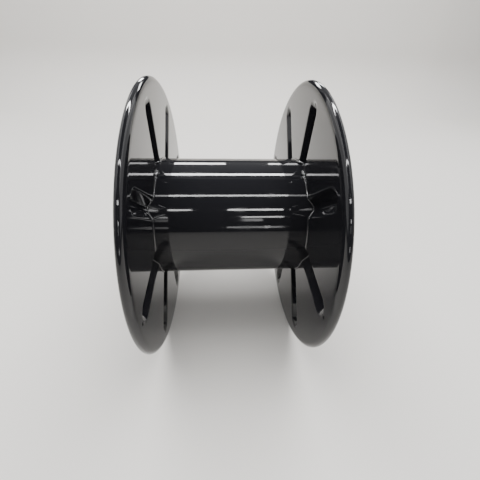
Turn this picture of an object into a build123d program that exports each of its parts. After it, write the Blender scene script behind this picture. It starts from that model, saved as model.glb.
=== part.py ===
from build123d import *
from math import cos, radians, sin, tan
import os

# Pressed-steel wire reel, lying on its two rims.
# Millimetres. The reel's axis is X, the origin is on the axis half way between the flanges,
# Z is up and the floor is flange_diameter / 2 below the origin.

# Driving dimensions
flange_diameter = 630.0      # over the rolled rims
traverse = 320.0             # between the flat inner faces of the flanges
barrel_diameter = 280.0      # outside of the winding barrel
barrel_wall = 3.0
flange_sheet = 3.0           # sheet that each flange is pressed from

# Rolled rim: the sheet first sweeps outwards on a wide bend, then curls into a tight roll
rim_bend_radius = 16.0       # inner face of the wide bend
rim_bend_angle = 45.0        # how far the wide bend turns before the tight roll starts
rim_roll_radius = 7.0        # outside of the tight roll
rim_roll_end_angle = 305.0   # where the cut edge of the sheet ends, turned from the flat face
rim_hollow_runs = 6          # straight runs round the hidden inside of the roll, to save facets

# Pressed radial grooves, sunk in the inner face and raised as ribs on the outer face
groove_count = 8
groove_phase = 33.5          # first groove, above the horizontal on the -Y side
groove_depth = 11.5
groove_floor_width = 10.0    # between the sharp corners of the floor and the sloped sides
groove_side_angle = 34.5     # slope of the sides against the flat face
groove_reach = 285.0         # radius where the outer end of a groove meets the flat face
groove_lip_radius = 14.0     # rounding where a side meets the flat face
groove_floor_radius = 6.0    # rounding where a side meets the floor

# Hub: a round recess as deep as the grooves, which carries the arbor tube
hub_floor_diameter = 146.0
arbor_bore = 56.0
arbor_tube_wall = 4.0
arbor_tube_stand_out = 2.0   # end of the tube beyond the outer face of the hub

# Round holes pierced in each flange
drive_hole_diameter = 20.0
drive_hole_circle_radius = 120.0
drive_hole_places = (1.5, 5.5)  # half way between two grooves, and opposite that
wire_hole_diameter = 7.0
wire_hole_circle_radius = 291.0
wire_hole_place = 7          # the hole for the wire's end is in line with this groove

# Values that follow from the sizes above
overlap = 1.0                # how far a cutting shape stands clear of the face that it cuts
side = radians(groove_side_angle)
bend = radians(rim_bend_angle)
flange_radius = flange_diameter / 2
hub_outer_face = groove_depth + flange_sheet
arbor_tube_radius = arbor_bore / 2 + arbor_tube_wall
arbor_tube_length = traverse + 2 * (hub_outer_face + arbor_tube_stand_out)
side_run = groove_depth / tan(side)
groove_end_radius = groove_floor_width / 2 + side_run
groove_end_centre = groove_reach - groove_end_radius


def polar(centre, radius, angle):
    """Point on a circle in an (outward, radial) section, turned from the inner side."""
    return (centre[0] - radius * cos(angle), centre[1] + radius * sin(angle))


def rim_and_disc():
    """Flat disc and rolled rim, as one section turned about the reel's axis.

    The section is drawn as (distance outwards from the inner face, radius).
    """
    roll_end = radians(rim_roll_end_angle)
    inset = rim_bend_radius - rim_roll_radius
    bend_start = flange_radius - rim_roll_radius - inset * sin(bend)
    bend_centre = (rim_bend_radius, bend_start)
    roll_centre = (rim_bend_radius - inset * cos(bend), bend_start + inset * sin(bend))

    def wide_bend(radius):
        """Arc of the wide bend on one face of the sheet, from the flat face outwards."""
        points = [polar(bend_centre, radius, bend * share) for share in (0, 0.5, 1)]
        return ThreePointArc(*points)

    front = wide_bend(rim_bend_radius)
    back = wide_bend(rim_bend_radius - flange_sheet)
    roll_middle = polar(roll_centre, rim_roll_radius, (bend + roll_end) / 2)
    roll = ThreePointArc(front @ 1, roll_middle, polar(roll_centre, rim_roll_radius, roll_end))
    run_turn = (roll_end - bend) / rim_hollow_runs
    hollow_angles = [bend + run_turn * run for run in range(rim_hollow_runs + 1)]
    hollow_radius = rim_roll_radius - flange_sheet
    hollow = Polyline(*[polar(roll_centre, hollow_radius, angle) for angle in hollow_angles])
    outline = [
        Line((0, 0), front @ 0),
        front,
        roll,
        Line(roll @ 1, hollow @ 1),
        hollow,
        back,
        Line(back @ 0, (flange_sheet, 0)),
        Line((flange_sheet, 0), (0, 0)),
    ]
    return revolve(make_face(outline), Axis.X, 360)


def half_section(floor_half_width, offset, foot):
    """Half of a pressed recess, from its centre line to its lip.

    Drawn as (distance from the centre line, distance outwards from the inner face).
    offset is 0 for the inner face of the sheet and its thickness for the outer face, so
    that both faces share the centres of their roundings. foot is where the section is
    closed below the lip.
    """
    lip_centre_x = floor_half_width + side_run + groove_lip_radius * tan(side / 2)
    floor_centre_x = floor_half_width - groove_floor_radius * tan(side / 2)
    lip = groove_lip_radius - offset
    floor = groove_floor_radius + offset
    top = groove_depth + offset
    lip_centre_y = groove_lip_radius
    floor_centre_y = groove_depth - groove_floor_radius

    def on_lip(angle):
        return (lip_centre_x - lip * sin(angle), lip_centre_y - lip * cos(angle))

    def on_floor(angle):
        return (floor_centre_x + floor * sin(angle), floor_centre_y + floor * cos(angle))

    outline = [
        Line((0, foot), (lip_centre_x, foot)),
        Line((lip_centre_x, foot), on_lip(0)),
        ThreePointArc(on_lip(0), on_lip(side / 2), on_lip(side)),
        Line(on_lip(side), on_floor(side)),
        ThreePointArc(on_floor(side), on_floor(side / 2), on_floor(0)),
        Line((floor_centre_x, top), (0, top)),
        Line((0, top), (0, foot)),
    ]
    return make_face(outline)


def pressing(offset, foot):
    """Hub recess and radial grooves, bounded by one face of the sheet."""
    hub_plane = Plane(origin=(0, 0, 0), x_dir=(0, 1, 0), z_dir=(0, 0, -1))
    hub = revolve(hub_plane * half_section(hub_floor_diameter / 2, offset, foot), Axis.X, 360)

    half = half_section(groove_floor_width / 2, offset, foot)
    run_plane = Plane(origin=(0, 0, 0), x_dir=(0, -1, 0), z_dir=(0, 0, 1))
    end_plane = Plane(origin=(0, 0, groove_end_centre), x_dir=(0, 1, 0), z_dir=(0, 0, -1))
    run = extrude(run_plane * half, groove_end_centre)
    run += mirror(run, Plane.XZ)
    end_axis = Axis((0, 0, groove_end_centre), (1, 0, 0))
    groove = run + revolve(end_plane * half, end_axis, 360)

    shape = hub
    for index in range(groove_count):
        shape += groove_turn(index) * groove
    return shape


def groove_turn(place):
    """Turns a thing drawn along +Z about the reel's axis to a place, counted in grooves."""
    return Rot(X=90 - groove_phase - place * 360 / groove_count)


def hole_at(place, radius, diameter):
    """Cutter for a round hole through a flange, at a place counted in grooves."""
    length = hub_outer_face + 2 * overlap
    drill = Rot(Y=90) * Cylinder(diameter / 2, length)
    return groove_turn(place) * Pos(hub_outer_face / 2, 0, radius) * drill


def flange(recess):
    """One flange with its inner face at X = 0 and its outer face towards +X."""
    ribs = pressing(flange_sheet, 0)
    body = rim_and_disc() + ribs - recess
    tube_length = hub_outer_face + 2 * overlap
    tube_seat = Rot(Y=90) * Cylinder(arbor_tube_radius, tube_length)
    body -= Pos(hub_outer_face / 2, 0, 0) * tube_seat
    for place in drive_hole_places:
        body -= hole_at(place, drive_hole_circle_radius, drive_hole_diameter)
    body -= hole_at(wire_hole_place, wire_hole_circle_radius, wire_hole_diameter)
    return body


def tube(outer_radius, wall, length):
    """Plain tube along the reel's axis, centred on the origin."""
    solid = Cylinder(outer_radius, length) - Cylinder(outer_radius - wall, length + overlap)
    return Rot(Y=90) * solid


def barrel(recess):
    """Winding barrel: a rolled tube whose ends carry a tongue down into each groove."""
    full = tube(barrel_diameter / 2, barrel_wall, traverse + 2 * groove_depth)
    tongues = Pos(traverse / 2, 0, 0) * recess & full
    body = tube(barrel_diameter / 2, barrel_wall, traverse)
    return body + tongues + mirror(tongues, Plane.YZ)


recess = pressing(0, -overlap)
right_flange = Pos(traverse / 2, 0, 0) * flange(recess)

nodes = {
    "right_flange": right_flange,
    "left_flange": mirror(right_flange, Plane.YZ),
    "barrel": barrel(recess),
    "arbor_tube": tube(arbor_tube_radius, arbor_tube_wall, arbor_tube_length),
}

os.makedirs("parts", exist_ok=True)
for name, shape in nodes.items():
    export_step(shape, f"parts/{name}.step")
    print(name, len(shape.solids()), "solid", round(shape.volume / 1000), "cm3")
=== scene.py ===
# %% [markdown]
# # A pressed steel wire reel in black gloss enamel
# Steel wire is wound on reels like this one. Two round flanges are pressed from sheet steel,
# and a rolled tube, the barrel, is welded between them. A second, slimmer tube through the
# middle takes the arbor of the winding machine. The whole reel is then sprayed with black
# enamel. The metal gives the shape and the enamel gives the look: almost everything that
# the eye reads on such a reel is a reflection.
#
# The measured model is loaded first. It is the frame that every new piece has to fit.

import math

import bpy
import numpy as np
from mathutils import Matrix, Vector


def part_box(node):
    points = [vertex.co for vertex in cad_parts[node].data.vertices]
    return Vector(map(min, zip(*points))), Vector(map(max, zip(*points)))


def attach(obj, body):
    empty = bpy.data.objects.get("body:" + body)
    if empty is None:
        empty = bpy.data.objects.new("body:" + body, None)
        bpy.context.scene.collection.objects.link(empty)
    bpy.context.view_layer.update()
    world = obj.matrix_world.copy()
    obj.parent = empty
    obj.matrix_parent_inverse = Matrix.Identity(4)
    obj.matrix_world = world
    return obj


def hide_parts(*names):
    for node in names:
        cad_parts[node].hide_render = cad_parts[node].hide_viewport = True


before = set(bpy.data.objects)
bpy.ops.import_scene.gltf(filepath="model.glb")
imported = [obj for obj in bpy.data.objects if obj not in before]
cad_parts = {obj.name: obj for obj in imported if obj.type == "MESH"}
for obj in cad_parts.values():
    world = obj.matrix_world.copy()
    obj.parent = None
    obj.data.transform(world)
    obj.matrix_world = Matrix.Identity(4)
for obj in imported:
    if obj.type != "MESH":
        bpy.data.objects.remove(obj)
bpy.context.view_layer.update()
print("nodes", sorted(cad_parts))

# %% [markdown]
# ## Sizes
# The overall sizes are read from the measured model, so the pieces can't drift away from
# it. What a box can't tell, such as the thickness of the sheet or the rounding of a groove,
# is written here once, in metres.

# %% Sizes of the reel
MM = 0.001

FLANGE_RADIUS = round(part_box("right_flange")[1].z, 4)
INNER_FACE = round(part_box("right_flange")[0].x, 4)
BARREL_RADIUS = round(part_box("barrel")[1].z, 4)
TUBE_RADIUS = round(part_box("arbor_tube")[1].z, 4)
TUBE_END = round(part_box("arbor_tube")[1].x, 4)

SHEET = 3.0 * MM
BARREL_WALL = 3.0 * MM
TUBE_WALL = 4.0 * MM

# Rolled rim: a wide bend of the sheet, then a tight roll up to its cut edge
BEND_RADIUS = 16.0 * MM
BEND_ANGLE = math.radians(45)
ROLL_RADIUS = 7.0 * MM
ROLL_END = math.radians(305)

# Pressed grooves and hub recess. The first groove is GROOVE_PHASE above the horizontal.
GROOVES = 8
GROOVE_PHASE = math.radians(33.5)
GROOVE_DEPTH = 11.5 * MM
GROOVE_FLOOR = 10.0 * MM
GROOVE_SIDE = math.radians(34.5)
GROOVE_REACH = 285.0 * MM
LIP_ROUND = 14.0 * MM
FLOOR_ROUND = 6.0 * MM
HUB_FLOOR = 146.0 * MM

# Pierced holes: a drive hole half way after each of two grooves, a wire hole beyond one
DRIVE_HOLE = 20.0 * MM
DRIVE_HOLE_RADIUS = 120.0 * MM
DRIVE_HOLE_AFTER = (1, 5)
WIRE_HOLE = 7.0 * MM
WIRE_HOLE_RADIUS = 291.0 * MM
WIRE_HOLE_GROOVE = 7

# Values that follow from the sizes above
SIDE_RUN = GROOVE_DEPTH / math.tan(GROOVE_SIDE)
CORNER = math.tan(GROOVE_SIDE / 2)
GROOVE_END = GROOVE_REACH - GROOVE_FLOOR / 2 - SIDE_RUN
BEND_START = FLANGE_RADIUS - ROLL_RADIUS - (BEND_RADIUS - ROLL_RADIUS) * math.sin(BEND_ANGLE)
print("flange", FLANGE_RADIUS, "inner face", INNER_FACE, "barrel", BARREL_RADIUS)
print("rim's bend starts at radius", round(BEND_START, 4))

# %% [markdown]
# ## The pressed relief as a formula
# A groove is pressed by a die with sloped sides. Seen across, its section is a flat floor, a
# small rounding, a straight slope, a larger rounding at the lip, and then the flat face.
# Written as a depth that depends only on the distance from the middle of the groove, the
# same formula gives the straight run, the round end and the round hub recess.
#
# Both faces of the sheet share the centres of the roundings, so the sheet keeps its
# thickness round every bend, as pressed sheet nearly does.

# %% Depth of the pressing
SLOPE_STEP = 0.02 * MM


def relief(across, floor_half, skin):
    """Depth below the inner face at a distance across from the middle of a recess.

    Flat face: skin. Lip: a circle about (lip_x, LIP_ROUND). Slope: a straight line at
    GROOVE_SIDE. Floor rounding: a circle about (floor_x, GROOVE_DEPTH - FLOOR_ROUND).
    Floor: GROOVE_DEPTH + skin. skin is 0 for the inner face and SHEET for the outer one.
    """
    lip_x = floor_half + SIDE_RUN + LIP_ROUND * CORNER
    floor_x = floor_half - FLOOR_ROUND * CORNER
    lip, floor = LIP_ROUND - skin, FLOOR_ROUND + skin
    slope_low = lip_x - lip * math.sin(GROOVE_SIDE)
    slope_top = floor_x + floor * math.sin(GROOVE_SIDE)
    slope_depth = LIP_ROUND - lip * math.cos(GROOVE_SIDE)
    on_lip = LIP_ROUND - np.sqrt(np.maximum(lip ** 2 - (lip_x - across) ** 2, 0))
    on_slope = slope_depth + (slope_low - across) * math.tan(GROOVE_SIDE)
    drop = np.sqrt(np.maximum(floor ** 2 - (across - floor_x) ** 2, 0))
    on_round = GROOVE_DEPTH - FLOOR_ROUND + drop
    steps = [across >= lip_x, across >= slope_low, across >= slope_top, across >= floor_x]
    return np.select(steps, [skin, on_lip, on_slope, on_round], GROOVE_DEPTH + skin)


def pressing_depth(side, along, skin):
    """Depth of the sheet's face at a point of one groove's sector.

    along runs out from the reel's axis down the middle of the groove, side is square to
    it. A groove is a band round the line from the axis to GROOVE_END, and the hub is a
    disc round the axis. Where they meet, the deeper one wins.
    """
    from_groove = np.hypot(side, np.maximum(along - GROOVE_END, 0))
    groove = relief(from_groove, GROOVE_FLOOR / 2, skin)
    hub = relief(np.hypot(side, along), HUB_FLOOR / 2, skin)
    return np.maximum(groove, hub)


def pressing_slope(side, along, skin):
    """Slope of the same depth along side and along: its change over two steps, divided."""
    step = SLOPE_STEP
    across = pressing_depth(side + step, along, skin) - pressing_depth(side - step, along, skin)
    out = pressing_depth(side, along + step, skin) - pressing_depth(side, along - step, skin)
    return across / (2 * step), out / (2 * step)


samples = np.array([0, 15, 20, 40])
print("depth in mm at", samples, "mm:", relief(samples * MM, GROOVE_FLOOR / 2, 0) / MM)

# %% [markdown]
# ## Where the grid lines run
# A mirror shows every careless grid line, so the lines follow the shape. Beside a groove they
# run parallel to it, close together on the roundings and wide apart on the flats. Between two
# grooves they fan out. The rows are circles round the axis, close together where the
# grooves end and round the holes.

# %% Columns and rows of the flange grid
HALF_SECTOR = math.pi / GROOVES
LIP_X = GROOVE_FLOOR / 2 + SIDE_RUN + LIP_ROUND * CORNER
FLOOR_X = GROOVE_FLOOR / 2 - FLOOR_ROUND * CORNER
FAN_RADIUS = 80.0 * MM
FLAT_COLUMNS = 7

# Between these radii each face has lines of its own. They fade in and out over a short way.
OWN_LINES_FROM, OWN_LINES_TO = 75 * MM, 297 * MM
FADE_IN, FADE_OUT = 10 * MM, 8 * MM

# Half the height of the block of cells that each hole takes up
DRIVE_BLOCK = 15 * MM
WIRE_BLOCK = 5 * MM
ROUND_END_MARGIN = 8 * MM
FRONT_END_ROWS, BACK_END_ROWS = 34, 16


def groove_lines(skin):
    """Distances of the lines on one side of a groove, from its middle to its lip."""
    floor = FLOOR_X * np.linspace(0, 1, 4)
    turn = np.linspace(0, 1, 7)[1:] * GROOVE_SIDE
    rounding = FLOOR_X + (FLOOR_ROUND + skin) * np.sin(turn)
    lip = LIP_X - (LIP_ROUND - skin) * np.sin(np.linspace(1, 0, 9) * GROOVE_SIDE)
    return np.concatenate([floor, rounding, lip])


def sector_angles(radius, skin):
    """Angles of all columns of one sector, at each radius of the array.

    Beside the groove a line at distance t lies at the angle arcsin(t / radius). Outside
    the relief both faces use the same lines, so that they meet at the hub and at the rim.
    """
    fading_in = np.clip((radius - OWN_LINES_FROM) / FADE_IN, 0, 1)
    fading_out = np.clip((OWN_LINES_TO - radius) / FADE_OUT, 0, 1)
    in_relief = fading_in * fading_out
    shared, own = groove_lines(0), groove_lines(skin)
    lines = shared + (own - shared) * in_relief[:, None]
    beside = np.arcsin(lines / np.maximum(radius, FAN_RADIUS)[:, None])
    share = np.linspace(0, 1, FLAT_COLUMNS + 1)[1:]
    flat = beside[:, -1:] + (HALF_SECTOR - beside[:, -1:]) * share
    half = np.concatenate([beside, flat], axis=1)
    return np.concatenate([-half[:, -2:0:-1], half], axis=1)


def face_rows(end_steps):
    """Radii of the rows of a flange face, from the hub hole to the rim's bend.

    Each stretch has its own number of evenly spaced rows. end_steps is the number round
    the ends of the grooves.
    """
    hub_floor = HUB_FLOOR / 2 - FLOOR_ROUND * CORNER
    hub_lip = HUB_FLOOR / 2 + SIDE_RUN + LIP_ROUND * CORNER
    drive_low, drive_high = DRIVE_HOLE_RADIUS - DRIVE_BLOCK, DRIVE_HOLE_RADIUS + DRIVE_BLOCK
    wire_low, wire_high = WIRE_HOLE_RADIUS - WIRE_BLOCK, WIRE_HOLE_RADIUS + WIRE_BLOCK
    end_start = GROOVE_END - ROUND_END_MARGIN
    stretches = [
        np.linspace(TUBE_RADIUS, hub_floor, 4),
        np.linspace(hub_floor, hub_lip, 16),
        np.linspace(hub_lip, drive_low, 3),
        np.linspace(drive_low, drive_high, 9),
        np.linspace(drive_high, end_start, 6),
        np.linspace(end_start, wire_low, end_steps),
        np.linspace(wire_low, wire_high, 7),
        np.array([BEND_START]),
    ]
    return np.concatenate([stretch[(index > 0):] for index, stretch in enumerate(stretches)])


front_radii, back_radii = face_rows(FRONT_END_ROWS), face_rows(BACK_END_ROWS)
sector_columns = sector_angles(front_radii, 0).shape[1]
print("columns", GROOVES * sector_columns, "rows", len(front_radii), "and", len(back_radii))

# %% [markdown]
# ## One side of the sheet
# The columns of one sector are repeated round the axis, and the depth formula gives each
# point its place. The normal of every point comes from the slope of the same formula and
# not from the faces round it, so the flats reflect as flat as glass, whatever the grid.

# %% Points and normals of a flange face
def compass(angle):
    """Unit vector square to the axis, at an angle above the horizontal on the -Y side."""
    return np.stack([np.zeros_like(angle), -np.cos(angle), np.sin(angle)], axis=-1)


def sideways(angle):
    """Unit vector along the circle, towards growing angles."""
    return np.stack([np.zeros_like(angle), np.sin(angle), np.cos(angle)], axis=-1)


def all_sectors(local):
    """Repeats the sector's columns for every groove, as angles above the horizontal."""
    groove = GROOVE_PHASE + np.arange(GROOVES) * 2 * HALF_SECTOR
    turned = local[:, None, :] + groove[None, :, None]
    return turned.reshape(len(local), -1)


def pressed_face(radius, skin):
    """Points, normals and angles of one face of the right flange.

    x is the inner face plus the depth. The normal is (-1, slope sideways, slope outwards),
    made one long, and turned round for the outer face.
    """
    local = sector_angles(radius, skin)
    side = radius[:, None] * np.sin(local)
    along = radius[:, None] * np.cos(local)
    depth = np.tile(pressing_depth(side, along, skin), (1, GROOVES))
    slope_side, slope_out = pressing_slope(side, along, skin)
    around = all_sectors(local)
    groove = GROOVE_PHASE + np.arange(GROOVES) * 2 * HALF_SECTOR
    middle = np.repeat(groove, local.shape[1])[None, :]
    points = compass(around) * radius[:, None, None]
    points[..., 0] = INNER_FACE + depth
    across = np.tile(slope_side, (1, GROOVES))[..., None] * sideways(middle)
    outward = np.tile(slope_out, (1, GROOVES))[..., None] * compass(middle)
    normals = across + outward
    normals[..., 0] = -1
    if skin:
        normals = -normals
    return points, normals / np.linalg.norm(normals, axis=-1, keepdims=True), around


circle = pressed_face(np.array([200 * MM]), 0)[0]
print("x on the 200 mm circle:", circle[..., 0].min(), "to", circle[..., 0].max())

# %% [markdown]
# ## The rolled rim
# A raw edge of sheet would cut hands and wire, so it is rolled. The sheet first sweeps
# outwards on a wide bend and then curls into a tight roll. In section that is two arcs
# that share a tangent, and the section is carried round the axis.

# %% Points and normals of the rim
FRONT_RIM_STEPS = (8, 34)
BACK_RIM_STEPS = (4, 14)


def rim_strip(around, skin, bend_steps, roll_steps):
    """Rim of one face of the sheet, carried round the axis.

    A point of an arc is centre - r * (cos a, -sin a) in (x, radius), with the angle a
    growing from the flat face, through the top of the roll, to the cut edge.
    """
    inset = BEND_RADIUS - ROLL_RADIUS
    bend_angles = np.linspace(0, BEND_ANGLE, bend_steps + 1)[1:]
    roll_angles = np.linspace(BEND_ANGLE, ROLL_END, roll_steps + 1)[1:]
    angles = np.concatenate([bend_angles, roll_angles])
    on_bend = np.arange(len(angles)) < bend_steps
    centre_x = np.where(on_bend, BEND_RADIUS, BEND_RADIUS - inset * math.cos(BEND_ANGLE))
    centre_r = np.where(on_bend, BEND_START, BEND_START + inset * math.sin(BEND_ANGLE))
    arc = np.where(on_bend, BEND_RADIUS, ROLL_RADIUS) - skin
    x = INNER_FACE + centre_x - arc * np.cos(angles)
    radius = centre_r + arc * np.sin(angles)
    points = compass(around) * radius[:, None, None]
    points[..., 0] = x[:, None]
    normals = compass(around) * np.sin(angles)[:, None, None]
    normals[..., 0] = -np.cos(angles)[:, None]
    return points, -normals if skin else normals


section = rim_strip(np.zeros((1, 1)), 0, *FRONT_RIM_STEPS)[0]
print("rim reaches out to x", section[..., 0].max(), "and radius", -section[..., 1].min())

# %% [markdown]
# ## From grids to meshes
# A ring-shaped piece of sheet is one grid that closes in both directions: out along one
# face, round the edge, back along the other face and home. Its quads are worked out as one
# array. Walls such as a cut edge keep their own flat normals.

# %% Helpers that turn a closed grid into a piece
SHORTEST_NORMAL = 1e-12


def ring_quads(rows, columns):
    """Corner numbers of the quads of a grid that closes along rows and columns."""
    row = np.arange(rows)[:, None]
    column = np.arange(columns)[None, :]
    next_row, next_column = (row + 1) % rows, (column + 1) % columns
    corners = [row * columns + column, next_row * columns + column]
    corners += [next_row * columns + next_column, row * columns + next_column]
    return np.stack([np.broadcast_to(c, (rows, columns)) for c in corners], axis=-1)


def flat_normals(points, quads):
    """Normal of each quad, for its four corners: the cross product of its diagonals."""
    a, b, c, d = (points[quads[:, i]] for i in range(4))
    normal = np.cross(c - a, d - b)
    normal /= np.maximum(np.linalg.norm(normal, axis=1, keepdims=True), SHORTEST_NORMAL)
    return np.repeat(normal[:, None, :], 4, axis=1)


def make_piece(name, points, quads, corner_normals, mirrored=False):
    """Puts points and quads into a mesh, with a normal for each corner of each quad."""
    if mirrored:
        points = points * (-1, 1, 1)
        corner_normals = corner_normals[:, ::-1] * (-1, 1, 1)
        quads = quads[:, ::-1]
    mesh = bpy.data.meshes.new(name)
    mesh.vertices.add(len(points))
    mesh.vertices.foreach_set("co", points.astype(np.float32).ravel())
    mesh.loops.add(quads.size)
    mesh.loops.foreach_set("vertex_index", quads.astype(np.int32).ravel())
    mesh.polygons.add(len(quads))
    mesh.polygons.foreach_set("loop_start", np.arange(0, quads.size, 4, dtype=np.int32))
    mesh.polygons.foreach_set("use_smooth", np.ones(len(quads), dtype=bool))
    mesh.update(calc_edges=True)
    mesh.validate()
    mesh.normals_split_custom_set(corner_normals.reshape(-1, 3))
    piece = bpy.data.objects.new(name, mesh)
    bpy.context.scene.collection.objects.link(piece)
    print(name, len(quads) * 2, "triangles")
    return piece


print("a closed grid of 3 by 4 points has", ring_quads(3, 4).size // 4, "quads")

# %% [markdown]
# ## Piercing the sheet
# The drive holes and the hole for the wire's end are punched where the sheet is flat. In
# the grid a block of cells is taken out round each hole, and a collar of quads joins the
# block's outline to a circle. The circles of the two faces are joined by the hole's wall.

# %% Punch round holes through both faces
def block_outline(rows, columns, total_columns):
    """Corner numbers round a block of cells, once round, from row and column ranges."""
    (low, high), (left, right) = rows, columns
    across, up = np.arange(left, right), np.arange(low, high)
    down_side = low * total_columns + across
    right_side = up * total_columns + right
    up_side = high * total_columns + across[::-1] + 1
    left_side = (up[::-1] + 1) * total_columns + left
    return np.concatenate([down_side, right_side, up_side, left_side])


def punch(points, outline_in, outline_out, centre, radius):
    """Circles, collars and wall of one hole: all points, and three sets of new quads.

    A point of a circle is centre + radius * the direction to the outline's own point.
    """
    direction = points[outline_in][:, 1:] - centre
    direction /= np.linalg.norm(direction, axis=1, keepdims=True)
    circles = []
    for outline in (outline_in, outline_out):
        circle = np.empty((len(outline), 3))
        circle[:, 0] = points[outline, 0]
        circle[:, 1:] = centre + radius * direction
        circles.append(circle)
    count, first = len(outline_in), len(points)
    ring_in = first + np.arange(count)
    ring_out = ring_in + count
    pairs = [(outline_in, ring_in), (ring_out, outline_out), (ring_in, ring_out)]
    quads = [np.stack([a, b, np.roll(b, -1), np.roll(a, -1)], axis=1) for a, b in pairs]
    return np.concatenate([points] + circles), quads


print("a block of 2 by 3 cells has", len(block_outline((0, 2), (0, 3), 9)), "points round it")

# %% [markdown]
# ## The flanges
# The two flanges are the same pressing. The right one is worked out and the left one is its
# mirror image, with the order of the corners turned round so that its faces still point
# outwards. Both faces lose the same block of cells at a hole, so their outlines have the
# same number of points, and the outer face's one only has to start at the same corner.

# %% Make both flanges
DRIVE_BLOCK_COLUMNS = 5
WIRE_BLOCK_COLUMNS = 9
NEARLY = 1e-6

# Each hole: place counted in grooves, circle's radius, diameter, and half its block of cells
holes = [
    (groove + 0.5, DRIVE_HOLE_RADIUS, DRIVE_HOLE, DRIVE_BLOCK, DRIVE_BLOCK_COLUMNS)
    for groove in DRIVE_HOLE_AFTER
]
holes.append((WIRE_HOLE_GROOVE, WIRE_HOLE_RADIUS, WIRE_HOLE, WIRE_BLOCK, WIRE_BLOCK_COLUMNS))


def whole_sheet():
    """Grid of the right flange before it is pierced: points, normals and smooth cells.

    The rows run out along the inner face and its rim, then back along the outer one. The
    two rows of cells that close it, the rim's cut edge and the hub hole's wall, are flat.
    """
    front, front_normals, around = pressed_face(front_radii, 0)
    back, back_normals, _ = pressed_face(back_radii, SHEET)
    rim, rim_normals = rim_strip(around[-1:], 0, *FRONT_RIM_STEPS)
    hem, hem_normals = rim_strip(around[-1:], SHEET, *BACK_RIM_STEPS)
    points = np.concatenate([front, rim, hem[::-1], back[::-1]])
    normals = np.concatenate([front_normals, rim_normals, hem_normals[::-1], back_normals[::-1]])
    smooth = np.ones(points.shape[:2], dtype=bool)
    smooth[len(front) + len(rim) - 1] = False
    smooth[-1] = False
    return points, normals, smooth


def pierced_sheet():
    """Right flange with its holes: points, quads and a normal for each corner."""
    points, normals, smooth = whole_sheet()
    rows, columns = smooth.shape
    quads = ring_quads(rows, columns)
    keep = np.ones((rows, columns), dtype=bool)
    points, normals = points.reshape(-1, 3), normals.reshape(-1, 3)
    groove_column = FLAT_COLUMNS + len(groove_lines(0)) - 2
    hole_quads, hole_smooth = [], []
    for place, radius, diameter, reach, half_span in holes:
        column = int(place * sector_columns) + groove_column
        left, right = column - half_span, column + half_span
        block = np.array([radius - reach, radius + reach]) - NEARLY
        low, high = np.searchsorted(front_radii, block)
        inner = block_outline((low, high), (left, right), columns)
        keep[low:high, left:right] = False
        low, high = rows - 1 - np.searchsorted(back_radii, block[::-1])
        outer = block_outline((low, high), (left, right), columns)
        keep[low:high, left:right] = False

        same_corner = 4 * half_span + high - low
        turned = (same_corner - np.arange(len(inner))) % len(outer)
        centre = compass(np.array(GROOVE_PHASE + place * 2 * HALF_SECTOR))[1:] * radius
        points, new_quads = punch(points, inner, outer[turned], centre, diameter / 2)
        circle_normals = np.repeat([[-1, 0, 0], [1, 0, 0]], len(inner), axis=0)
        normals = np.concatenate([normals, circle_normals])
        hole_quads += new_quads
        hole_smooth += [np.repeat([True, True, False], len(inner))]

    quads = np.concatenate([quads[keep]] + hole_quads)
    smooth = np.concatenate([smooth[keep]] + hole_smooth)[:, None, None]
    return points, quads, np.where(smooth, normals[quads], flat_normals(points, quads))


pressing = pierced_sheet()
right_flange = make_piece("pressed_flange_right", *pressing)
left_flange = make_piece("pressed_flange_left", *pressing, mirrored=True)

# %% [markdown]
# ## The barrel and the arbor tube
# The barrel is rolled from sheet. Its ends are cut to the relief of the flange, so a tongue
# reaches down into each groove and no wire can slip behind. The ends come from the same
# depth formula as the flange, read along a circle of the barrel's radius.

# %% Make the barrel and the arbor tube
BARREL_STEPS, TUBE_STEPS = 13, 9
TUBE_COLUMNS = 96


def sleeve(name, radius, wall, half_length, around, steps):
    """Tube along the axis: radius out, radius less wall back, each end at half_length.

    half_length may differ for each column: x = share * half_length.
    """
    share = np.linspace(-1, 1, steps)
    outer = compass(around)[None] * radius + np.zeros((steps, 1, 1))
    outer[..., 0] = share[:, None] * half_length
    inner = compass(around)[None] * (radius - wall) + np.zeros((steps, 1, 1))
    inner[..., 0] = share[::-1, None] * half_length
    normal = np.broadcast_to(compass(around), outer.shape)
    points = np.concatenate([outer, inner]).reshape(-1, 3)
    normals = np.concatenate([normal, -normal]).reshape(-1, 3)
    quads = ring_quads(2 * steps, len(around))
    smooth = np.ones(quads.shape[:2], dtype=bool)
    smooth[steps - 1] = False
    smooth[-1] = False
    quads = quads.reshape(-1, 4)
    smooth = smooth.reshape(-1)[:, None, None]
    corner_normals = np.where(smooth, normals[quads], flat_normals(points, quads))
    return make_piece(name, points, quads, corner_normals)


barrel_local = sector_angles(np.array([BARREL_RADIUS]), 0)
barrel_around = all_sectors(barrel_local)[0]
barrel_side, barrel_along = np.sin(barrel_local), np.cos(barrel_local)
barrel_depth = pressing_depth(BARREL_RADIUS * barrel_side, BARREL_RADIUS * barrel_along, 0)[0]
barrel_reach = INNER_FACE + np.tile(barrel_depth, GROOVES)
barrel = sleeve(
    "rolled_barrel", BARREL_RADIUS, BARREL_WALL, barrel_reach, barrel_around, BARREL_STEPS
)

tube_around = np.linspace(0, 2 * math.pi, TUBE_COLUMNS, endpoint=False)
tube_reach = np.full(TUBE_COLUMNS, TUBE_END)
arbor_tube = sleeve(
    "arbor_tube_skin", TUBE_RADIUS, TUBE_WALL, tube_reach, tube_around, TUBE_STEPS
)

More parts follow.
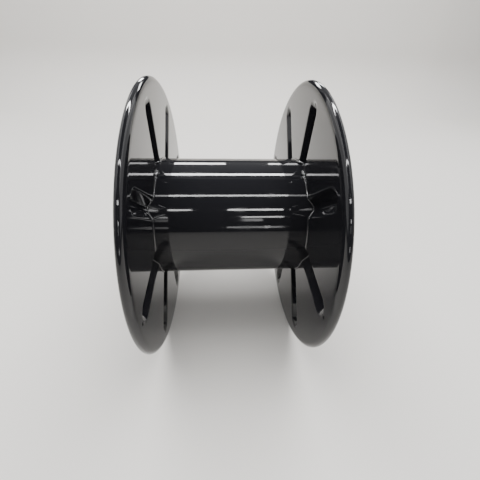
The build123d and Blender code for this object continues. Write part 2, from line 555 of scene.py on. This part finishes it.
# %% [markdown]
# ## A bead of weld
# The barrel is welded to the flanges all round, and the tube to the hubs. Seen across, a
# bead is a quarter circle that stands in the corner, in front of both faces. Behind them it
# goes only half as deep as the sheet is thick, so that it never shows on the far side.
#
# A bead by hand is never even. Its radius is the plain radius times a few waves whose
# lengths don't fit each other, so that the swelling never seems to repeat.

# %% Helpers for a bead
BEAD_BEHIND = 1.5 * MM
BEAD_STEPS = 16
BEAD_TURN = np.linspace(0, 2 * math.pi, BEAD_STEPS, endpoint=False)[:, None]


def bead(name, path, first_face, second_face, radius):
    """Closed tube along a corner, a quarter circle where it stands in front of both faces.

    A point is path + a * first_face + b * second_face, with the faces given by their
    normals, a = radius * cos t and b = radius * sin t. Behind a face BEAD_BEHIND takes the
    place of the radius. The normal is square to the lines to the neighbouring points.
    """
    parts = []
    for part in (np.cos(BEAD_TURN), np.sin(BEAD_TURN)):
        parts.append((np.where(part > 0, radius, BEAD_BEHIND) * part)[..., None])
    offset = parts[0] * first_face + parts[1] * second_face
    grid = path + offset
    along = np.roll(grid, -1, axis=1) - np.roll(grid, 1, axis=1)
    round_it = np.roll(grid, -1, axis=0) - np.roll(grid, 1, axis=0)
    normals = np.cross(round_it, along)
    normals /= np.linalg.norm(normals, axis=-1, keepdims=True)
    inside_out = (normals * offset).sum(-1).mean() < 0
    if inside_out:
        grid, normals = grid[::-1], -normals[::-1]
    quads = ring_quads(BEAD_STEPS, len(path)).reshape(-1, 4)
    return make_piece(name, grid.reshape(-1, 3), quads, normals.reshape(-1, 3)[quads])


def waves(distance, lengths, seed):
    """Sum of sines of the given wavelengths, each with its own start, between -1 and 1."""
    starts = np.random.default_rng(seed).uniform(0, 2 * math.pi, len(lengths))
    parts = [
        np.sin(2 * math.pi * distance / length + start)
        for length, start in zip(lengths, starts)
    ]
    return np.sum(parts, axis=0) / len(lengths)


print("a bead has", BEAD_STEPS, "points round it and goes", BEAD_BEHIND, "behind a face")

# %% [markdown]
# ## The beads of this reel
# The bead round the barrel follows the tongues down into the grooves, where the rod has
# little room and leaves less metal. On top of the reel, where each run starts and stops,
# metal has piled up in lumps. They lean, because the rod was moved on while they set.

# %% Make the weld beads
BARREL_BEAD = 2.5 * MM
BARREL_BEAD_COLUMNS = 1600
BARREL_SWELL, BARREL_SWELL_LENGTHS = 0.06, [47 * MM, 29 * MM, 17 * MM]
LESS_IN_GROOVE = 0.3

LUMP_RISE, LUMP_CHANGE, LUMP_LENGTHS = 1.3, 0.6, [23 * MM, 11 * MM]
LUMP_LEAN = 5 * MM
LUMP_FADE = math.radians(6)

HUB_BEAD = 1.4 * MM
HUB_BEAD_COLUMNS = 400
HUB_SWELL, HUB_SWELL_LENGTHS = 0.2, [9 * MM, 5 * MM, 3.7 * MM]


def barrel_bead(name, sign, lumpy_from, lumpy_to, seed):
    """Bead in the corner between barrel and flange, lumpy between two angles in degrees.

    radius = plain radius * (1 - less in a groove) * (1 + swell + lumps). The lumps lean:
    round the bead, their wave is shifted by LUMP_LEAN * sin t along the path.
    """
    angle = np.linspace(0, 2 * math.pi, BARREL_BEAD_COLUMNS, endpoint=False)
    local = (angle - GROOVE_PHASE + HALF_SECTOR) % (2 * HALF_SECTOR) - HALF_SECTOR
    side, along = BARREL_RADIUS * np.sin(local), BARREL_RADIUS * np.cos(local)
    depth = pressing_depth(side, along, 0)
    path = compass(angle) * BARREL_RADIUS
    path[:, 0] = sign * (INNER_FACE + depth)
    distance = angle * BARREL_RADIUS
    span = math.radians(lumpy_to - lumpy_from)
    inside = (angle - math.radians(lumpy_from)) % (2 * math.pi)
    lumpy = np.clip(np.minimum(inside, span - inside) / LUMP_FADE, 0, 1)
    swell = BARREL_SWELL * waves(distance, BARREL_SWELL_LENGTHS, seed)
    lumps = waves(distance + LUMP_LEAN * np.sin(BEAD_TURN), LUMP_LENGTHS, seed + 1)
    shallow = 1 - LESS_IN_GROOVE * depth / GROOVE_DEPTH
    radius = BARREL_BEAD * shallow * (1 + swell + lumpy * (LUMP_RISE + LUMP_CHANGE * lumps))
    return bead(name, path, np.array([-sign, 0.0, 0.0]), compass(angle), radius)


def hub_bead(name, sign, seed):
    """Bead round the arbor tube on the outer face of the hub: plain radius * (1 + swell)."""
    angle = np.linspace(0, 2 * math.pi, HUB_BEAD_COLUMNS, endpoint=False)
    path = compass(angle) * TUBE_RADIUS
    path[:, 0] = sign * (INNER_FACE + GROOVE_DEPTH + SHEET)
    swell = HUB_SWELL * waves(angle * TUBE_RADIUS, HUB_SWELL_LENGTHS, seed)
    radius = HUB_BEAD * (1 + swell)[None]
    return bead(name, path, np.array([sign, 0.0, 0.0]), compass(angle), radius)


beads = [
    barrel_bead("weld_barrel_left", -1, 60, 88, 3),
    barrel_bead("weld_barrel_right", 1, 56, 92, 8),
    hub_bead("weld_hub_left", -1, 5),
    hub_bead("weld_hub_right", 1, 6),
]

# %% [markdown]
# ## Making a material
# A material is a tree of nodes. One small function adds a node with its settings and its
# links, and another turns a colour as it is seen on a screen into the linear numbers that
# the renderer adds up.

# %% Helpers for materials
def linear(hex_colour):
    """sRGB hex value as linear RGBA."""
    parts = [int(hex_colour[i:i + 2], 16) / 255 for i in (1, 3, 5)]
    return [c / 12.92 if c <= 0.04045 else ((c + 0.055) / 1.055) ** 2.4 for c in parts] + [1.0]


def add_node(tree, kind, settings=None, links=None):
    """Adds a node, sets its properties or input values, and links inputs to outputs."""
    node = tree.nodes.new(kind)
    for key, value in (settings or {}).items():
        if key in node.inputs:
            node.inputs[key].default_value = value
        else:
            setattr(node, key, value)
    for key, output in (links or {}).items():
        tree.links.new(output, node.inputs[key])
    return node


def new_material(name):
    """Material with an empty node tree and its output node."""
    material = bpy.data.materials.new(name)
    material.use_nodes = True
    material.node_tree.nodes.clear()
    output = add_node(material.node_tree, "ShaderNodeOutputMaterial")
    return material, material.node_tree, output


print("mid grey #808080 is", round(linear("#808080")[0], 3), "in linear light")

# %% [markdown]
# ## Black gloss enamel
# Enamel is a hard paint that flows out to a glassy film before it dries. It is black, so it
# gives back almost no light of its own, and the film mirrors whatever stands round it: a few
# percent when seen straight on, and nearly half at the shallow angles at which the flanges
# are seen. A typical index of refraction is 1.5. The flanges and the barrel have slightly
# less, which makes the pale floor as faint in them as it is in the real reel. The beads have
# more, so that their narrow crests stand out.
#
# A sprayed film isn't perfect. It has a faint orange peel a few millimetres across, the
# pressed sheet under it waves gently over a hand's breadth, a speck of dust is caught in it
# here and there, and a thin film of dust dulls it in places.

# %% Enamel material
WAVE_LENGTH = 110 * MM
PEEL_WIDTH = 8 * MM
DUST_PATCH = 50 * MM
NIB_SPACING = 28 * MM
NIB_RADIUS = 0.022          # as a share of the spacing, so 0.6 mm
NIB_HEIGHT = 0.2 * MM
DUST_DULLS = 0.10           # what the thickest dust adds to the roughness


def gloss_enamel(name, roughness, refraction, peel, sheet_wave):
    """Black enamel: mirror film over a black ground, with peel, waves, nibs and dust.

    peel and sheet_wave are heights in metres. Each relief is laid over the one before it.
    """
    material, tree, output = new_material(name)
    place = {"Vector": add_node(tree, "ShaderNodeTexCoord").outputs["Object"]}
    wave = add_node(tree, "ShaderNodeTexNoise", {"Scale": 1 / WAVE_LENGTH, "Detail": 1.0}, place)
    skin = add_node(tree, "ShaderNodeTexNoise", {"Scale": 1 / PEEL_WIDTH, "Detail": 2.0}, place)
    dust = add_node(
        tree, "ShaderNodeTexNoise",
        {"Scale": 1 / DUST_PATCH, "Detail": 6.0, "Roughness": 0.65}, place,
    )
    nib = add_node(tree, "ShaderNodeTexVoronoi", {"Scale": 1 / NIB_SPACING}, place)
    nib_height = add_node(
        tree, "ShaderNodeMapRange",
        {"From Min": 0.0, "From Max": NIB_RADIUS, "To Min": 1.0, "To Max": 0.0},
        {"Value": nib.outputs["Distance"]},
    )
    broad = add_node(
        tree, "ShaderNodeBump", {"Strength": 1.0, "Distance": sheet_wave},
        {"Height": wave.outputs["Fac"]},
    )
    fine = add_node(
        tree, "ShaderNodeBump", {"Strength": 1.0, "Distance": peel},
        {"Height": skin.outputs["Fac"], "Normal": broad.outputs["Normal"]},
    )
    nibs = add_node(
        tree, "ShaderNodeBump", {"Strength": 0.5, "Distance": NIB_HEIGHT},
        {"Height": nib_height.outputs["Result"], "Normal": fine.outputs["Normal"]},
    )
    dull = add_node(
        tree, "ShaderNodeMapRange",
        {
            "From Min": 0.45, "From Max": 0.8,
            "To Min": roughness, "To Max": roughness + DUST_DULLS,
        },
        {"Value": dust.outputs["Fac"]},
    )
    film = add_node(
        tree, "ShaderNodeBsdfPrincipled",
        {"Base Color": linear("#1b1b1e"), "IOR": refraction, "Metallic": 0.0},
        {"Roughness": dull.outputs["Result"], "Normal": nibs.outputs["Normal"]},
    )
    tree.links.new(film.outputs["BSDF"], output.inputs["Surface"])
    return material


# On the flanges: a clear mirror, with the slow waves of pressed sheet
enamel_on_pressing = gloss_enamel(
    "gloss_black_enamel_on_pressed_steel", 0.035, 1.46, 0.005 * MM, 0.09 * MM
)
# On the barrel and the tube: more orange peel, which makes the edges of the lines tremble
enamel_on_barrel = gloss_enamel(
    "gloss_black_enamel_on_rolled_steel", 0.035, 1.40, 0.025 * MM, 0.05 * MM
)
# Over the beads: the coarse skin of weld metal, which breaks a line into short glints
enamel_on_weld = gloss_enamel("gloss_black_enamel_over_weld", 0.2, 1.75, 0.1 * MM, 0.0)
print("materials", [m.name for m in (enamel_on_pressing, enamel_on_barrel, enamel_on_weld)])

# %% [markdown]
# ## Put the finish on and tie the pieces to the model
# Each new piece rides on the model's one body and takes its enamel. A piece that stands for
# a plain node of the model hides it.

# %% Dress and tie the pieces
def dress(piece, material, *nodes):
    """Gives a piece its finish, ties it to the body and hides the nodes it stands for."""
    piece.data.materials.append(material)
    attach(piece, "root")
    if nodes:
        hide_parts(*nodes)


dress(right_flange, enamel_on_pressing, "right_flange")
dress(left_flange, enamel_on_pressing, "left_flange")
dress(barrel, enamel_on_barrel, "barrel")
dress(arbor_tube, enamel_on_barrel, "arbor_tube")
for weld in beads:
    dress(weld, enamel_on_weld)
print("dressed", 4 + len(beads), "pieces")

# %% [markdown]
# ## Floor and backdrop
# A mirror needs something to mirror. The pale floor fills the lower half of the barrel and
# the inner faces of the flanges, and it sweeps up into a low pale wall behind the reel. Above
# that wall the studio stays dim, or the top of the barrel would turn grey.

# %% Make the floor
def sweep_floor(name, half_width, front, back, bend, height):
    """Floor that turns up into a wall: a line, a quarter circle and a line, carried along X."""
    turn = np.linspace(0, math.pi / 2, 17)
    curve_y = back + bend * np.sin(turn)
    curve_z = bend * (1 - np.cos(turn))
    y = np.concatenate([[front], curve_y, [back + bend]])
    z = np.concatenate([[0], curve_z, [height]]) - FLANGE_RADIUS
    x = np.array([-half_width, half_width])
    points = np.stack(np.broadcast_arrays(x[:, None], y[None], z[None]), axis=-1).reshape(-1, 3)
    count = len(y)
    first = np.arange(count - 1)
    quads = np.stack([first, first + count, first + count + 1, first + 1], axis=1)
    mesh = bpy.data.meshes.new(name)
    mesh.from_pydata(points.tolist(), [], quads.tolist())
    mesh.polygons.foreach_set("use_smooth", np.ones(len(quads), dtype=bool))
    floor = bpy.data.objects.new(name, mesh)
    bpy.context.scene.collection.objects.link(floor)
    return floor


floor = sweep_floor("studio_floor", half_width=6.0, front=-4.0, back=3.2, bend=0.8, height=1.5)
floor_paint, tree, output = new_material("matt_pale_floor_paint")
paint = {"Base Color": linear("#e6e3de"), "Roughness": 0.75}
ground = add_node(tree, "ShaderNodeBsdfPrincipled", paint)
tree.links.new(ground.outputs["BSDF"], output.inputs["Surface"])
floor.data.materials.append(floor_paint)
print("floor at z", -FLANGE_RADIUS)

# %% [markdown]
# ## Lights
# Gloss is lit by what it reflects, so the lights are strips, as under the roof of a workshop.
# The ones parallel to the barrel each draw one straight line on it. Their place is given by
# the angle at which they stand, measured from the horizontal on the camera's side over the
# top of the reel, and each reaches from one x to another, so that its line can be shorter
# than the barrel. A wide and very dim one, the roof haze, lifts the black over the barrel.
#
# The lights square to the barrel can't be seen in its middle at all. On each side a panel
# turns the outside of the rim grey, a second one over it does so for its top, and a narrow
# streak draws the long bright lines round it.
#
# A strip's brightness is that of its face. Its power follows from it as brightness times pi
# times area, so a strip can be made longer without its reflection getting paler. All these
# lights are there for the enamel's mirror alone. They are switched off for matt light, in
# which they would burn out the floor. One large soft light over the reel gives that
# instead, and it is left out of the mirror.

# %% Make the lights
STRIP_DISTANCE = 3.0

# Lights parallel to the barrel: name, angle, from x, to x, width, brightness and, where it
# isn't STRIP_DISTANCE, the distance from the axis
BARREL_LIGHTS = [
    ("strip_back_left", 147, -0.78, 0.05, 0.42, 20),
    ("strip_back_right", 147, 0.60, 1.25, 0.34, 16),
    ("strip_over_back", 111, -1.3, 1.3, 0.26, 65),
    ("strip_over_front", 64, -1.3, 1.3, 0.15, 30),
    ("strip_front_high_left", 37, -0.79, -0.37, 0.15, 24),
    ("strip_front_high_right", 37, 0.07, 0.76, 0.16, 32),
    ("strip_front_mid", 23.5, 0.25, 0.76, 0.13, 22),
    ("strip_front_low", 18, 0.25, 0.50, 0.26, 6),
    ("strip_front_lowest", 4.4, 0.05, 0.76, 0.17, 6),
    ("lamp_front_lowest", 4.4, 0.53, 0.60, 0.22, 30),
    ("roof_haze", 127, -1.6, 1.6, 3.6, 0.35, 3.4),
]

# Lights square to it, one on each side: name, size, brightness, place on the right, lean
RIM_LIGHTS = [
    ("panel", (3.4, 7.0), 1.1, (3.2, 1.0, 1.9), math.pi / 2),
    ("panel_over", (1.6, 7.0), 1.3, (2.6, 0.5, 3.1), 0.3),
    ("streak", (0.20, 5.0), 5.0, (1.75, 0.5, 3.0), 0.3),
]


def area_light(name, size, brightness, location, turn):
    """Rectangular light: size is (along x, along y) before it is turned."""
    data = bpy.data.lights.new(name, "AREA")
    data.shape = "RECTANGLE"
    data.size, data.size_y = size
    data.energy = brightness * math.pi * size[0] * size[1]
    lamp = bpy.data.objects.new(name, data)
    lamp.location = location
    lamp.rotation_euler = turn
    bpy.context.scene.collection.objects.link(lamp)
    return lamp


def strip_across(name, angle, start, end, width, brightness, away=STRIP_DISTANCE):
    """Strip parallel to the barrel, on a circle round the axis: away * (-cos, sin) in (y, z)."""
    bearing = math.radians(angle)
    place = ((start + end) / 2, -away * math.cos(bearing), away * math.sin(bearing))
    return area_light(name, (end - start, width), brightness, place, (math.pi / 2 - bearing, 0, 0))


strips = [strip_across(*light) for light in BARREL_LIGHTS]
for side, sign in (("left", -1), ("right", 1)):
    for name, size, brightness, (out, back, high), lean in RIM_LIGHTS:
        place, turn = (sign * out, back, high), (0, sign * lean, 0)
        strips.append(area_light(f"{name}_{side}", size, brightness, place, turn))

for strip in strips:
    strip.visible_diffuse = False

fill = area_light("soft_fill", (7.0, 7.0), 6.2, (0, 0.8, 5.0), (0, 0, 0))
fill.visible_glossy = False
print("lights", len(strips) + 1)

world = bpy.data.worlds.new("dim_studio")
bpy.context.scene.world = world
world.use_nodes = True
world.node_tree.nodes["Background"].inputs["Color"].default_value = linear("#8d9096")
world.node_tree.nodes["Background"].inputs["Strength"].default_value = 0.25

# %% [markdown]
# ## Camera
# The camera stands a little above the reel and looks down on it, slightly left of its
# middle. Its place is in flange diameters, because that is what a photograph can tell. The
# lens follows from the focal length in pixels of a picture 480 pixels wide.

# %% Make the camera
DIAMETER = 2 * FLANGE_RADIUS
CAMERA_AWAY = 1.1368 * DIAMETER
CAMERA_LEFT = -0.0409 * DIAMETER
CAMERA_ELEVATION = math.radians(29)
CAMERA_YAW, CAMERA_PITCH, CAMERA_ROLL = (math.radians(a) for a in (-4.13, 0.12, 0.44))
FOCAL_PIXELS, PICTURE_PIXELS, AXIS_ROW = 279.5, 480, 213.5
SENSOR_MM = 36


def turn_about(axis, angle):
    """Rotation matrix about the X, Y or Z axis."""
    c, s = math.cos(angle), math.sin(angle)
    rows = {
        "X": [[1, 0, 0], [0, c, -s], [0, s, c]],
        "Y": [[c, 0, s], [0, 1, 0], [-s, 0, c]],
        "Z": [[c, -s, 0], [s, c, 0], [0, 0, 1]],
    }
    return np.array(rows[axis])


lift = turn_about("X", -CAMERA_ELEVATION)
look = lift @ turn_about("Z", CAMERA_YAW)
look = look @ turn_about("X", CAMERA_PITCH) @ turn_about("Y", CAMERA_ROLL)
right, forward, up = look.T
stand = lift @ np.array([CAMERA_LEFT, -CAMERA_AWAY, 0])

camera_data = bpy.data.cameras.new("view_from_the_front")
camera_data.sensor_width = SENSOR_MM
camera_data.lens = SENSOR_MM * FOCAL_PIXELS / PICTURE_PIXELS
camera_data.shift_y = (AXIS_ROW - PICTURE_PIXELS / 2) / PICTURE_PIXELS
camera = bpy.data.objects.new("view_from_the_front", camera_data)
matrix = np.eye(4)
matrix[:3, 0], matrix[:3, 1], matrix[:3, 2], matrix[:3, 3] = right, up, -forward, stand
camera.matrix_world = matrix.T.tolist()
bpy.context.scene.collection.objects.link(camera)
bpy.context.scene.camera = camera
print("camera at", stand.round(3), "lens", round(camera_data.lens, 2))

# %% [markdown]
# ## Bring the scene up to date
# The dressed reel has to fill the same box as the measured model. Here the view layer is
# brought up to date.

# %% Update the view layer
bpy.context.view_layer.update()
